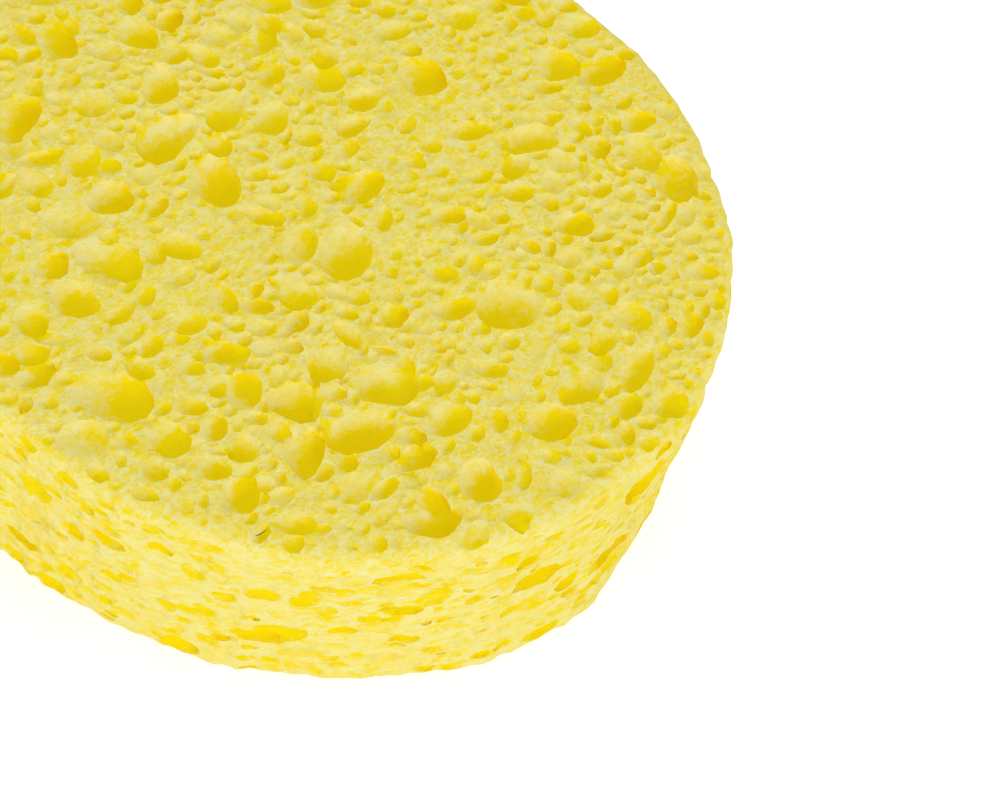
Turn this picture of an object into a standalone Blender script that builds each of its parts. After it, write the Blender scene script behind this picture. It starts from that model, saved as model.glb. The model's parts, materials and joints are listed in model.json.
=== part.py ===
"""Cellulose bath sponge, cut in one piece from a slab of foam.

The outline is a figure of eight: two round lobes joined at a waist. The slab is
full of flattened gas bubbles, and the cut faces lay them open: deep oval pores
on the two flat faces, and low slits along the side wall.
"""

import math

import bmesh
import bpy
import numpy as np
from mathutils import Matrix

# Driving dimensions of the slab, in metres
LOBE_RADIUS = 0.050
LOBE_SPACING = 0.052
WAIST_FILLET = 0.006
THICKNESS = 0.030
RIM_SOFTNESS = 0.0007

# Driving dimensions of the pores
PORE_DEPTH_SHARE = 0.86
PORE_SUNK_SHARE = 0.16
FACE_PORE_LENGTH = (0.0042, 0.0086)
FACE_PORE_ROUNDNESS = (0.60, 0.90)
FACE_PORE_PITCH = 0.0076
FACE_PORE_GAP = 0.0004
FACE_PORE_EDGE = 0.0012
FACE_PORE_LEAN = 65.0
FACE_PORE_LEAN_SPREAD = 45.0
WALL_SLIT_LENGTH = (0.0045, 0.0085)
WALL_SLIT_HEIGHT = (0.0014, 0.0026)
WALL_SLIT_DEPTH = 0.0030
WALL_SLIT_PITCH = 0.0330
WALL_SLIT_EDGE = 0.0040
WALL_SLIT_ROWS = 5
UNDERSIDE_PITCH = 0.0120
REST_SPOT_RADIUS = 0.0060

# Faces of the curved forms
OUTLINE_STEP = 0.0042
RIM_STEPS = 0
LARGE_PORE = 0.0055
LARGE_PORE_FACES = (10, 4)
SMALL_PORE_FACES = (8, 3)
SLIT_FACES = (8, 3)
MILLIMETRE = 0.001
TRIES = 40

# Finish
SPONGE_YELLOW = (0.870, 0.730, 0.150, 1.0)
SPONGE_ROUGHNESS = 0.90

# The large pores of one lobe's upper face, in millimetres from that lobe's centre:
# x, y, length, width, and the turn of the length from +X in degrees
MAIN_PORES = (
    (-22.6, 0.8, 8.8, 6.0, 65), (-14.9, -3.5, 7.2, 5.6, -50), (-2.5, -8.0, 8.0, 4.2, 100),
    (3.0, -7.0, 7.6, 5.4, 100), (-25.5, -10.8, 5.8, 4.4, 30), (-15.5, -13.6, 5.2, 4.0, 10),
    (-22.8, -19.3, 7.4, 5.0, -10), (-28.2, -22.7, 4.6, 3.4, 40), (-23.4, -25.3, 6.2, 4.3, 10),
    (-8.1, -19.2, 4.8, 3.0, -55), (-11.0, -23.6, 4.6, 3.6, 20), (-5.6, -26.4, 4.8, 3.6, 45),
    (-1.8, -30.0, 4.8, 4.0, 90), (-27.3, -30.4, 5.6, 4.4, 0), (-15.0, -36.6, 8.2, 5.6, 5),
    (-15.4, -43.2, 6.0, 4.6, 20), (-7.4, -39.3, 4.6, 3.4, -30), (-40.2, -3.8, 7.2, 4.6, 85),
    (-35.0, -8.6, 5.6, 2.8, 40), (-8.0, -5.6, 4.8, 2.8, 8), (1.8, 3.4, 5.6, 3.6, 60),
    (23.7, -6.9, 7.8, 7.0, 60), (17.2, -10.1, 5.4, 3.2, 45), (28.8, -12.0, 4.8, 3.0, 55),
    (37.6, -2.4, 6.4, 5.0, 0), (40.6, -9.6, 6.8, 3.2, 80), (45.2, -12.0, 4.8, 4.0, 90),
    (34.8, -14.3, 5.6, 3.4, 62), (32.2, -20.4, 6.2, 4.8, 10), (13.0, -23.4, 6.4, 5.2, 50),
    (6.0, -23.2, 4.8, 4.0, -50), (21.2, -25.6, 5.6, 3.8, 50), (4.2, -29.4, 5.6, 4.6, 20),
    (12.4, -30.2, 6.8, 4.4, 42), (19.2, -31.4, 5.0, 2.8, 40), (27.2, -31.2, 5.4, 4.2, -60),
    (36.1, -27.7, 5.4, 4.4, 80), (22.8, -36.2, 4.4, 2.8, -35), (7.4, -35.6, 5.6, 4.2, -72),
    (14.2, -37.4, 4.8, 3.4, 45), (2.4, -43.6, 5.2, 4.0, 80), (9.4, -43.8, 5.0, 3.0, 15),
    (-32.2, 14.9, 5.8, 4.2, -5), (-22.8, 14.6, 4.8, 2.8, -8), (-17.6, 19.8, 4.8, 3.0, 85),
    (-8.6, 17.6, 5.4, 4.0, 15), (-2.3, 12.2, 5.6, 3.4, 62), (2.7, 23.2, 6.0, 5.4, -30),
    (-17.4, 8.2, 6.4, 4.2, 75), (-26.6, 7.8, 6.0, 4.4, -60), (4.9, 35.4, 4.8, 4.2, 90),
    (20.4, 41.4, 5.0, 3.8, 30), (24.6, 34.2, 7.6, 4.0, 50), (18.6, 28.6, 4.8, 2.8, 22),
    (31.2, 28.0, 4.8, 3.4, 20), (37.6, 20.8, 6.8, 5.2, 100), (19.1, 19.4, 7.0, 3.8, 60),
    (11.0, 17.2, 5.0, 3.2, 35), (19.7, 10.4, 4.6, 3.0, 10), (3.6, 16.0, 4.8, 2.8, 80),
    (44.6, 7.8, 4.6, 2.8, 20), (-16.4, -27.6, 4.4, 3.0, 80), (12.6, 3.4, 4.6, 2.8, 30),
    (27.6, 8.6, 4.4, 3.8, 10), (-32.6, 2.4, 4.6, 3.4, 70), (-24.0, -37.2, 4.6, 3.2, 40),
)


def clear_scene():
    for item in list(bpy.data.objects):
        bpy.data.objects.remove(item, do_unlink=True)
    for group in list(bpy.data.collections):
        bpy.data.collections.remove(group)


def new_collection(name):
    group = bpy.data.collections.new(name)
    bpy.context.scene.collection.children.link(group)
    return group


def arc(centre, radius, start, end):
    """Points of an arc from one angle to another, both in radians, without its last point."""
    count = max(3, math.ceil(abs(end - start) * radius / OUTLINE_STEP))
    angles = np.linspace(start, end, count, endpoint=False)
    return np.stack([centre[0] + radius * np.cos(angles), centre[1] + radius * np.sin(angles)], axis=1)


def outline():
    """The figure of eight, anticlockwise: a lobe, a waist fillet, the other lobe, the other fillet."""
    half = LOBE_SPACING / 2
    fillet_y = math.sqrt((LOBE_RADIUS + WAIST_FILLET) ** 2 - half**2)
    meet = math.atan2(fillet_y, -half)
    return np.concatenate(
        [
            arc((half, 0), LOBE_RADIUS, -meet, meet),
            arc((0, fillet_y), WAIST_FILLET, meet - math.pi, -meet),
            arc((-half, 0), LOBE_RADIUS, math.pi - meet, math.pi + meet),
            arc((0, -fillet_y), WAIST_FILLET, meet, math.pi - meet),
        ]
    )


def inside(points):
    """How far points lie inside the two lobes, negative outside them."""
    half = np.array([LOBE_SPACING / 2, 0.0])
    right = LOBE_RADIUS - np.linalg.norm(points - half, axis=-1)
    left = LOBE_RADIUS - np.linalg.norm(points + half, axis=-1)
    return np.maximum(right, left)


def sponge_material():
    material = bpy.data.materials.new("cellulose_foam_yellow")
    material.use_nodes = True
    shader = material.node_tree.nodes["Principled BSDF"]
    shader.inputs["Base Color"].default_value = SPONGE_YELLOW
    shader.inputs["Roughness"].default_value = SPONGE_ROUGHNESS
    shader.inputs["Metallic"].default_value = 0.0
    material.diffuse_color = SPONGE_YELLOW
    return material


def slab(collection):
    """The die-cut slab: a flat outline curve with thickness and softened rims, made a mesh."""
    curve = bpy.data.curves.new("slab_outline", "CURVE")
    curve.dimensions = "2D"
    curve.fill_mode = "BOTH"
    curve.extrude = THICKNESS / 2 - RIM_SOFTNESS
    curve.bevel_depth = RIM_SOFTNESS
    curve.bevel_resolution = RIM_STEPS
    curve.offset = -RIM_SOFTNESS
    points = outline()
    spline = curve.splines.new("POLY")
    spline.points.add(len(points) - 1)
    flat = np.zeros((len(points), 4))
    flat[:, :2] = points
    flat[:, 3] = 1.0
    spline.points.foreach_set("co", flat.ravel())
    spline.use_cyclic_u = True
    drawn = bpy.data.objects.new("slab_outline", curve)
    collection.objects.link(drawn)
    bpy.context.view_layer.update()
    mesh = bpy.data.meshes.new_from_object(drawn.evaluated_get(bpy.context.evaluated_depsgraph_get()))
    bpy.data.objects.remove(drawn, do_unlink=True)
    made = bmesh.new()
    made.from_mesh(mesh)
    bmesh.ops.remove_doubles(made, verts=made.verts, dist=0.01 * MILLIMETRE)
    bmesh.ops.recalc_face_normals(made, faces=made.faces)
    bmesh.ops.translate(made, verts=made.verts, vec=(0, 0, THICKNESS / 2))
    made.to_mesh(mesh)
    made.free()
    mesh.name = "sponge"
    body = bpy.data.objects.new("sponge", mesh)
    collection.objects.link(body)
    return body


def add_bubble(cutters, centre, size, turn, faces):
    """One gas bubble: an ellipsoid with its half sizes along its length, its width and upwards."""
    made = bmesh.new()
    place = Matrix.Translation(centre) @ Matrix.Rotation(turn, 4, "Z") @ Matrix.Diagonal((*size, 1.0))
    sides, rings = faces
    bmesh.ops.create_uvsphere(made, u_segments=sides, v_segments=rings, radius=1.0, matrix=place)
    mesh = bpy.data.meshes.new("bubble")
    made.to_mesh(mesh)
    made.free()
    bubble = bpy.data.objects.new("bubble", mesh)
    bubble.hide_render = True
    bubble.display_type = "WIRE"
    cutters.objects.link(bubble)


def add_face_pore(cutters, place, length, width, turn, face_height, outward):
    """A pore on a flat face: its bubble's middle is sunk under the face, so the rim stands over it."""
    rim_share = math.sqrt(1.0 - PORE_SUNK_SHARE**2)
    half = np.array([length, width]) / 2 / rim_share
    upright = PORE_DEPTH_SHARE * math.sqrt(half[0] * half[1])
    height = face_height - outward * PORE_SUNK_SHARE * upright
    faces = LARGE_PORE_FACES if length > LARGE_PORE else SMALL_PORE_FACES
    add_bubble(cutters, (*place, height), (*half, upright), turn, faces)


def scattered_pores(seed, pitch, taken):
    """Pores spread over a flat face: drawn in one order, and kept where they clear those before them."""
    draw = np.random.RandomState(seed)
    reach = np.array([LOBE_SPACING / 2 + LOBE_RADIUS, LOBE_RADIUS])
    count = int(TRIES * reach[0] * reach[1] / pitch**2)
    places = draw.uniform(-1, 1, (count, 2)) * reach
    big = draw.uniform(0, 1, count) ** 2
    length = FACE_PORE_LENGTH[0] + big * (FACE_PORE_LENGTH[1] - FACE_PORE_LENGTH[0])
    width = length * draw.uniform(*FACE_PORE_ROUNDNESS, count)
    turn = np.radians(FACE_PORE_LEAN + draw.uniform(-1, 1, count) * FACE_PORE_LEAN_SPREAD)
    deep_enough = inside(places) > FACE_PORE_EDGE + length / 2
    kept = list(taken)
    pores = []
    for i in np.flatnonzero(deep_enough):
        x, y = places[i]
        radius = (length[i] + width[i]) / 4
        if all(math.hypot(x - a, y - b) > max(pitch, radius + r + FACE_PORE_GAP) for a, b, r in kept):
            kept.append((x, y, radius))
            pores.append((places[i], length[i], width[i], turn[i]))
    return pores


def upper_face(cutters):
    lobe = np.array([LOBE_SPACING / 2, 0.0])
    taken = []
    for x, y, length, width, turn in MAIN_PORES:
        place = lobe + np.array([x, y]) * MILLIMETRE
        taken.append((*place, (length + width) / 4 * MILLIMETRE))
        if inside(place) > 0:
            size = (length * MILLIMETRE, width * MILLIMETRE)
            add_face_pore(cutters, place, *size, math.radians(turn), THICKNESS, 1)
    for place, length, width, turn in scattered_pores(5, FACE_PORE_PITCH, taken):
        add_face_pore(cutters, place, length, width, turn, THICKNESS, 1)


def underside(cutters):
    rest_spot = [(0.0, 0.0, REST_SPOT_RADIUS)]
    for place, length, width, turn in scattered_pores(23, UNDERSIDE_PITCH, rest_spot):
        add_face_pore(cutters, place, length, width, turn, 0.0, -1)


def side_wall(cutters):
    """Low slits along the wall, in rows: each row's slits are shifted and sized by one draw."""
    draw = np.random.RandomState(41)
    points = outline()
    ring = np.vstack([points, points[:1]])
    along = np.concatenate([[0.0], np.cumsum(np.linalg.norm(np.diff(ring, axis=0), axis=1))])
    rise = (THICKNESS - 2 * WALL_SLIT_EDGE) / (WALL_SLIT_ROWS - 1)
    per_row = max(8, int(along[-1] / WALL_SLIT_PITCH))
    for row in range(WALL_SLIT_ROWS):
        for slot in range(per_row):
            shift, up, long, high = draw.uniform(0, 1, 4)
            place = (slot + 0.25 * row + 0.6 * shift) / per_row * along[-1] % along[-1]
            x = np.interp(place, along, ring[:, 0])
            y = np.interp(place, along, ring[:, 1])
            piece = min(int(np.searchsorted(along, place, side="right")) - 1, len(points) - 1)
            step = ring[piece + 1] - ring[piece]
            length = WALL_SLIT_LENGTH[0] + long * (WALL_SLIT_LENGTH[1] - WALL_SLIT_LENGTH[0])
            height = WALL_SLIT_HEIGHT[0] + high * (WALL_SLIT_HEIGHT[1] - WALL_SLIT_HEIGHT[0])
            level = WALL_SLIT_EDGE + (row + 0.5 * (up - 0.5)) * rise
            size = (length / 2, WALL_SLIT_DEPTH, height / 2)
            turn = math.atan2(step[1], step[0])
            add_bubble(cutters, (x, y, level), size, turn, SLIT_FACES)


def main():
    clear_scene()
    product = new_collection("bath_sponge")
    cutters = new_collection("pore_cutters")
    body = slab(product)
    body.data.materials.clear()
    body.data.materials.append(sponge_material())
    upper_face(cutters)
    underside(cutters)
    side_wall(cutters)
    cut = body.modifiers.new("pores", "BOOLEAN")
    cut.operation = "DIFFERENCE"
    cut.operand_type = "COLLECTION"
    cut.collection = cutters
    cut.solver = "EXACT"


main()
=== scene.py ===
"""Finished look of a cellulose bath sponge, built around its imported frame.

The slab is a closed surface worked out from its outline. Thousands of flattened gas
bubbles are cut out of it, large ones first and small ones in what they leave free,
so that its faces are laid open as the die and the saw leave them.
"""

import json
import math

import bpy
import numpy as np
from bpy.props import FloatProperty, FloatVectorProperty, IntProperty, IntVectorProperty, PointerProperty
from mathutils import Matrix, Vector

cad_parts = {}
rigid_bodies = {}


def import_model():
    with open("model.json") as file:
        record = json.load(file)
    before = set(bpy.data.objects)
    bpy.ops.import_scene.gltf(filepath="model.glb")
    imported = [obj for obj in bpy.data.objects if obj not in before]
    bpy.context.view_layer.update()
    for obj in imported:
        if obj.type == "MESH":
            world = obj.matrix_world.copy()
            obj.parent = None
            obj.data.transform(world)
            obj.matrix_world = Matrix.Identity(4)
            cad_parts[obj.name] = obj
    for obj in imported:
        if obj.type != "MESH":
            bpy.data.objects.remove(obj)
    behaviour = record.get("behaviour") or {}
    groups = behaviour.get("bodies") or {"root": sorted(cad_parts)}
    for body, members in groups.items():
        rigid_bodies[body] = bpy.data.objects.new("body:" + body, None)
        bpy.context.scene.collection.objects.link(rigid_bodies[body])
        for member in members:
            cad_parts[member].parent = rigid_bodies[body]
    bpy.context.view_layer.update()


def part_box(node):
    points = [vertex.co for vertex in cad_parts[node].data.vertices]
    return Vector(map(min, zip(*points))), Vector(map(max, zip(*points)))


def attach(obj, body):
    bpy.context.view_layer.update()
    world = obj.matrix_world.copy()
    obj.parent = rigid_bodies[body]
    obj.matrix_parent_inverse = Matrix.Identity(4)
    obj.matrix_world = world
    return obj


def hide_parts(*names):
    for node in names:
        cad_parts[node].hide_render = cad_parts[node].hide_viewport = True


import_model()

bl_info = {
    "name": "Bath Sponge",
    "version": (1, 0, 0),
    "blender": (4, 5, 0),
    "location": "View3D > Sidebar > Sponge",
    "description": "Builds a cellulose bath sponge with open pores, and a plain studio around it",
    "category": "Object",
}

NODE = "sponge"
LOW, HIGH = (np.array(corner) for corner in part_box(NODE))
LENGTH, WIDTH, THICKNESS = HIGH - LOW
MM = 0.001

# The photograph's frame and what was measured in it
PHOTO_WIDTH = 1000
FOCAL_PIXELS = 2000.0
LOOK_DOWN = math.radians(55.8)
ROLL = math.radians(18.8)
PIXELS_PER_LOBE = 401.0
LOBE_IN_VIEW = (-0.5275, 0.2155)

# The pores that show best on the upper face, in millimetres from the right lobe's centre:
# x, y, length, width, turn of the length from +X in degrees, and depth as a share of the full one
MAIN_PORES = (
    (-22.6, 0.8, 8.8, 6.0, 65, 0.9), (-14.9, -3.5, 7.2, 5.6, -50, 0.7), (-2.5, -8.0, 8.0, 4.2, 100, 0.6),
    (3.0, -7.0, 7.6, 5.4, 100, 0.9), (-25.5, -10.8, 5.8, 4.4, 30, 1.0), (-15.5, -13.6, 5.2, 4.0, 10, 0.8),
    (-22.8, -19.3, 7.4, 5.0, -10, 0.8), (-28.2, -22.7, 4.6, 3.4, 40, 1.1), (-23.4, -25.3, 6.2, 4.3, 10, 0.8),
    (-8.1, -19.2, 4.8, 3.0, -55, 0.9), (-11.0, -23.6, 4.6, 3.6, 20, 0.6), (-5.6, -26.4, 4.8, 3.6, 45, 1.0),
    (-1.8, -30.0, 4.8, 4.0, 90, 0.9), (-27.3, -30.4, 5.6, 4.4, 0, 0.8), (-15.0, -36.6, 8.2, 5.6, 5, 0.8),
    (-15.4, -43.2, 6.0, 4.6, 20, 0.5), (-7.4, -39.3, 4.6, 3.4, -30, 0.9), (-40.2, -3.8, 7.2, 4.6, 85, 0.9),
    (-35.0, -8.6, 5.6, 2.8, 40, 0.7), (-8.0, -5.6, 4.8, 2.8, 8, 1.1), (1.8, 3.4, 5.6, 3.6, 60, 1.1),
    (23.7, -6.9, 7.8, 7.0, 60, 0.7), (17.2, -10.1, 5.4, 3.2, 45, 0.9), (28.8, -12.0, 4.8, 3.0, 55, 0.4),
    (37.6, -2.4, 6.4, 5.0, 0, 0.7), (40.6, -9.6, 6.8, 3.2, 80, 0.9), (45.2, -12.0, 4.8, 4.0, 90, 0.9),
    (34.8, -14.3, 5.6, 3.4, 62, 1.1), (32.2, -20.4, 6.2, 4.8, 10, 1.0), (13.0, -23.4, 6.4, 5.2, 50, 0.9),
    (6.0, -23.2, 4.8, 4.0, -50, 0.8), (21.2, -25.6, 5.6, 3.8, 50, 0.8), (4.2, -29.4, 5.6, 4.6, 20, 0.9),
    (12.4, -30.2, 6.8, 4.4, 42, 0.9), (19.2, -31.4, 5.0, 2.8, 40, 1.1), (27.2, -31.2, 5.4, 4.2, -60, 1.1),
    (36.1, -27.7, 5.4, 4.4, 80, 0.4), (22.8, -36.2, 4.4, 2.8, -35, 1.1), (7.4, -35.6, 5.6, 4.2, -72, 0.9),
    (14.2, -37.4, 4.8, 3.4, 45, 0.5), (2.4, -43.6, 5.2, 4.0, 80, 1.0), (9.4, -43.8, 5.0, 3.0, 15, 0.9),
    (-32.2, 14.9, 5.8, 4.2, -5, 0.9), (-22.8, 14.6, 4.8, 2.8, -8, 1.0), (-17.6, 19.8, 4.8, 3.0, 85, 1.0),
    (-8.6, 17.6, 5.4, 4.0, 15, 0.6), (-2.3, 12.2, 5.6, 3.4, 62, 0.9), (2.7, 23.2, 6.0, 5.4, -30, 1.1),
    (-17.4, 8.2, 6.4, 4.2, 75, 0.9), (-26.6, 7.8, 6.0, 4.4, -60, 0.9), (4.9, 35.4, 4.8, 4.2, 90, 0.8),
    (20.4, 41.4, 5.0, 3.8, 30, 0.8), (24.6, 34.2, 7.6, 4.0, 50, 0.9), (18.6, 28.6, 4.8, 2.8, 22, 0.9),
    (31.2, 28.0, 4.8, 3.4, 20, 0.9), (37.6, 20.8, 6.8, 5.2, 100, 0.5), (19.1, 19.4, 7.0, 3.8, 60, 1.0),
    (11.0, 17.2, 5.0, 3.2, 35, 0.9), (19.7, 10.4, 4.6, 3.0, 10, 1.0), (3.6, 16.0, 4.8, 2.8, 80, 0.7),
    (44.6, 7.8, 4.6, 2.8, 20, 0.7), (-16.4, -27.6, 4.4, 3.0, 80, 0.5), (12.6, 3.4, 4.6, 2.8, 30, 1.0),
    (27.6, 8.6, 4.4, 3.8, 10, 0.9), (-32.6, 2.4, 4.6, 3.4, 70, 0.5), (-24.0, -37.2, 4.6, 3.2, 40, 0.9),
)

# The medium and small ones that can be told apart between them, in the same form. The turn, and then
# the depth, are left out where they are the usual ones.
MEDIUM_PORES = (
    (-16.7, 2.3, 3.6, 3.4), (-33.5, -12.5, 3.8, 3.5), (-17.6, -16.6, 4, 2.5, -10),
    (-25.4, -34.7, 4.2, 3.2, 40), (-3.1, -36.2, 4, 2.7, -70), (-7.2, -43.8, 3.8, 3, -30),
    (0.9, -37.5, 3.5, 3, 30), (-1.3, -41.2, 3.6, 2.7), (-13.5, -31.7, 4.2, 3),
    (-18.2, -25.3, 4.2, 2.7, 80), (-14, -18.2, 3.5, 3, 0, 0.45), (-0.4, -15, 4.3, 3.7),
    (-4.2, -18.7, 4.3, 2.2, 15), (-2.3, -21.4, 3.5, 2, 20), (-27.5, -7, 3.2, 2.4, 50),
    (-16.2, -9, 1.8, 1.2), (-32.5, -19.2, 2.8, 2), (-27.5, -15.5, 6, 4.5, 0, 0.45),
    (-8.1, -3.9, 3.5, 3, 0, 0.45), (-29, -3, 4.5, 3.5, 0, 0.45), (-10.9, -14.8, 3.2, 1.8, 80),
    (-7.7, -14.8, 2.8, 1.5, 90), (-12.3, -16, 2.2, 1.2), (-13.5, -21.3, 2, 1.6), (-11, -27, 3.6, 2.2, 40),
    (-24, -31.5, 5, 3, 20, 0.45), (-18.3, -31.7, 3, 2.4), (-8, -29.5, 3.8, 2.2),
    (-6.7, -34.4, 3.4, 2.2, 10), (-21, -39.8, 2.4, 1.8), (-19.2, -42.8, 1.8, 1.6),
    (-4.2, -43.2, 2.2, 1.8), (-7.3, -46.7, 3.6, 2), (18, 1.4, 4.2, 2.5, 20), (23.6, 2.6, 2.5, 2.2),
    (28.5, 0.1, 3, 2.6), (32.8, 3.8, 2.2, 1.6), (5.5, -0.3, 3.8, 2.4, 100), (12.6, -2.6, 3.4, 2, 60),
    (13.9, -5.5, 4, 2.4, 20), (44.8, -0.7, 4, 2.6, 80), (35.2, -7.5, 4.2, 2.6, 55),
    (23.9, -16.5, 3.6, 2.2, 15), (24, -19, 3, 1.4, 5), (6.4, -12.8, 3, 2.2, 40), (5.8, -15.7, 3.2, 1.8),
    (2.8, -16.1, 2.2, 1.4, 90), (7, -18.2, 4.2, 2.4, -25), (13.5, -16.7, 2.6, 2), (12, -19, 4, 1.3, 10),
    (1.6, -22.5, 2.6, 2.2), (21.4, -22, 2, 2), (26.3, -22.8, 3.6, 2.6, -60), (27.4, -26.3, 2.4, 1.8),
    (8.2, -26.8, 2.6, 2.4), (8.6, -29, 2.4, 2), (31.3, -29, 3.8, 2.2, 95), (3.7, -34, 3.6, 3),
    (17.2, -36.6, 3.4, 2.2, 50), (32, -34.3, 4, 3.2), (23.6, -38.6, 6, 4.6, 20), (12, -44.2, 3, 1.6, 30),
    (12, -41.3, 1.8, 1.2), (14.7, -42.6, 2.2, 1.2), (16.2, -44.9, 2, 1.2), (42, -25.2, 2.6, 2.2),
    (40.8, -22.2, 2.2, 2), (43, -16.4, 3.2, 2), (41, -18.7, 3.4, 2.4, -60), (37.8, -21.4, 4, 1.6),
    (35, -24, 3.4, 1.6), (36.6, -15.5, 2.8, 2), (43.8, -4.5, 2.6, 2), (35.4, -4.3, 2.4, 1.6, 110),
    (31.4, 2.3, 2.4, 1.8), (31.6, -9.2, 3.2, 2.6), (36.2, 1.2, 1.6, 1.2), (11.2, -8, 2, 1.4),
    (14.7, -8, 2.6, 1.6), (2.6, -2, 3.2, 1.6, -20), (18, -3, 3.2, 2, 90), (-40, 12.6, 3.6, 2.2, -30),
    (-36.5, 13.7, 3, 2.4), (-26.5, 13.6, 3.8, 2.8, 100), (-14.4, 15.8, 3.6, 3.4), (-13.1, 19.3, 2.6, 2),
    (-31.4, 7.2, 2.6, 1.6, 35), (-33.5, 4.6, 2.4, 1.4, 25), (-29.7, 4.5, 3.6, 2.8),
    (-44.8, 8.3, 4.5, 2.5, -10), (-42.6, 5.5, 4.7, 2.6, 50), (-11.9, 4.3, 2.2, 2), (-3.8, 3.4, 3.6, 3.6),
    (-2.6, 22, 2.8, 2), (-7.3, 25.3, 2.4, 1.2, -30), (-3, 25.5, 1.4, 1.2), (-8.7, 30.4, 3.4, 1.6),
    (-5.2, 32.6, 4, 2.8), (-13, 27.9, 3, 2.4), (-14.6, 23.4, 3.5, 2.8, 0, 0.45), (-7.7, 10.4, 2, 1.6),
    (1.2, 12, 2.2, 2), (-27.9, 16.8, 1.6, 1.4), (-36.6, 17.6, 2.4, 1.6, 80), (-34.6, 10.4, 4, 3, 0, 0.45),
    (-27.2, 10.4, 3, 1.6, 0, 0.45), (-34.2, 1.2, 2.2, 2), (-28.8, 21.4, 2.2, 1.2), (8.5, 39.5, 3.6, 3),
    (34.5, 31.6, 3.4, 2.8, 0, 0.45), (24.5, 24, 3.6, 2.3, -15), (7.6, 13.3, 3.6, 2.8, 10),
    (9.7, 9.9, 2.8, 2.4), (27.4, 14.1, 2.4, 2), (3.7, 8.9, 2.6, 1.6), (6.8, 5.5, 3.2, 2, 40),
    (24.5, 5.8, 2.2, 1.6, -20), (34.8, 8.7, 3.2, 1.8), (37.2, 6.6, 3.8, 2, 60),
    (38.5, 14.5, 5.4, 1.9, 85), (45, 12, 3.4, 2.2, 40), (23.7, 17, 4.4, 4, 0, 0.45),
    (26.4, 17, 3.4, 1.8, 100, 0.45), (14.7, 10.8, 4, 2.6, 45), (33.7, 18.7, 2.2, 1.6),
    (35.5, 10.8, 2, 1.6), (31, 18.7, 2, 1.4), (15, 31.6, 2.4, 1.8, 60), (15.1, 34.7, 1.8, 1.4),
    (11.2, 37, 4, 2, 85), (11.2, 31.2, 3.4, 2.4), (5.1, 27.4, 2.4, 2), (4.5, 30.3, 2.4, 1.2),
    (8.7, 27.4, 2.6, 1.6, 80), (15, 23.3, 2, 1.6), (11, 25.8, 3, 1.6, 90), (12.8, 28.9, 2.6, 2),
    (41.8, 19.5, 2.8, 1.8), (37.2, 27.6, 2, 1.4), (11.8, 12.6, 2.4, 2), (16.6, 4.1, 4, 2.6, -20, 0.45),
    (21.4, 19.7, 3, 1.6, 60),
)

# The measures above are those of the golden holes, and their rims are this much wider
RIM_GROWTH = 1.18

# Turn and depth of a row that doesn't give them
USUAL_TURN_AND_DEPTH = (0, 0.85)

# A pore's depth as a share of the full one: shallowest and deepest
DEPTH_SHARES = (0.35, 1.1)

# Places tried for each pore, pores counted on top, and the power that makes short ones likelier
TRIES_PER_PORE = 60
SPARE_PORES = 200
SHORT_FAVOUR = 1.3

# Least and most width of a pore as a share of its length, and the spread of the slits' turn in degrees
FACE_ROUNDNESS = (0.6, 0.92)
SLIT_ROUNDNESS = (0.38, 0.72)
SLIT_SPREAD = 13.0

# Sides and rings of a face's bubbles from small to large, and the mean widths in millimetres that part
# them. The wall's go from large to small.
FACE_PORE_SIZES = (1.7, 3.1, 4.6)
FACE_PORE_SHAPES = ((6, 3), (7, 4), (10, 5), (13, 7))
SLIT_SHAPES = ((9, 5), (6, 4), (5, 3))

UPPER_SEED, UNDER_SEED, WALL_SEED, SWELL_SEED = 11, 12, 13, 7

# Spread of the waves that swell a bubble, in radians over its radius
SWELL_WAVES = 1.7

# Spread of the slant's direction in radians, and its least and most share of the usual slant
SLANT_SPREAD = 0.5
SLANT_SHARES = (0.6, 1.3)

# Room that a bubble's unevenness needs, as a share of its half width and of its half height
SIDE_ROOM = 1.15
HEIGHT_ROOM = 1.2

# Painted shade at a bubble's bottom, in deep yellow, against its depth in millimetres, and against its share
# of the full depth
SHADE_TONE_BY_DEPTH = ((0.15, 0.6, 1.2), (0.35, 0.65, 1.0))
SHADE_TONE_BY_SHARE = ((DEPTH_SHARES[0], 0.6, 0.9), (0.3, 0.8, 1.0))

# Painted shade: how far a point's depth, its side of the bubble and its place at the rim make it deep yellow.
# The depth stands for the shade deep in a hollow, and the side for the rim's shadow on the side the bubble
# leans to.
DEPTH_PAINTED_SHADE = 0.6
SIDE_PAINTED_SHADOW = 0.68
FACE_RIM_PAINTED_SHADE = 0.04
WALL_RIM_PAINTED_SHADE = 0.5

# Above this angle between faces, an edge is a crease
CREASE = math.radians(55)


def lobe_half_spacing():
    return (LENGTH - WIDTH) / 2


# Outline and slab

# Waves of the outline: turns a round, share of the height, start
OUTLINE_WAVES = (
    (5, 0.2, 2.4), (9, 0.2, 2.0), (17, 0.25, 4.1), (31, 0.2, 1.1),
    (57, 0.15, 3.0), (89, 0.18, 0.7), (131, 0.18, 5.2), (173, 0.15, 2.6),
)
OUTLINE_INSET = 0.2

# Waves of a face, along X, along Y and along the two diagonals: metres to a radian, start
FACE_WAVES = ((0.0093, 1.3), (0.0117, 0.4), (0.0061, 0.0), (0.0073, 2.0))

# Waves of the wall, two slow ones and two fine ones: turns a round, metres of height to a radian
WALL_WAVES = ((5, 0.0047), (23, 0.009), (71, 0.0021), (47, -0.0013))
FINE_LUMPS = 0.8
LUMPS_INSET = 0.4

# How far the faces' grid reaches out, as a share of the flat, and how often the foot bends in a round
GRID_SHARE = 0.96
FOOT_BENDS = 6


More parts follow.
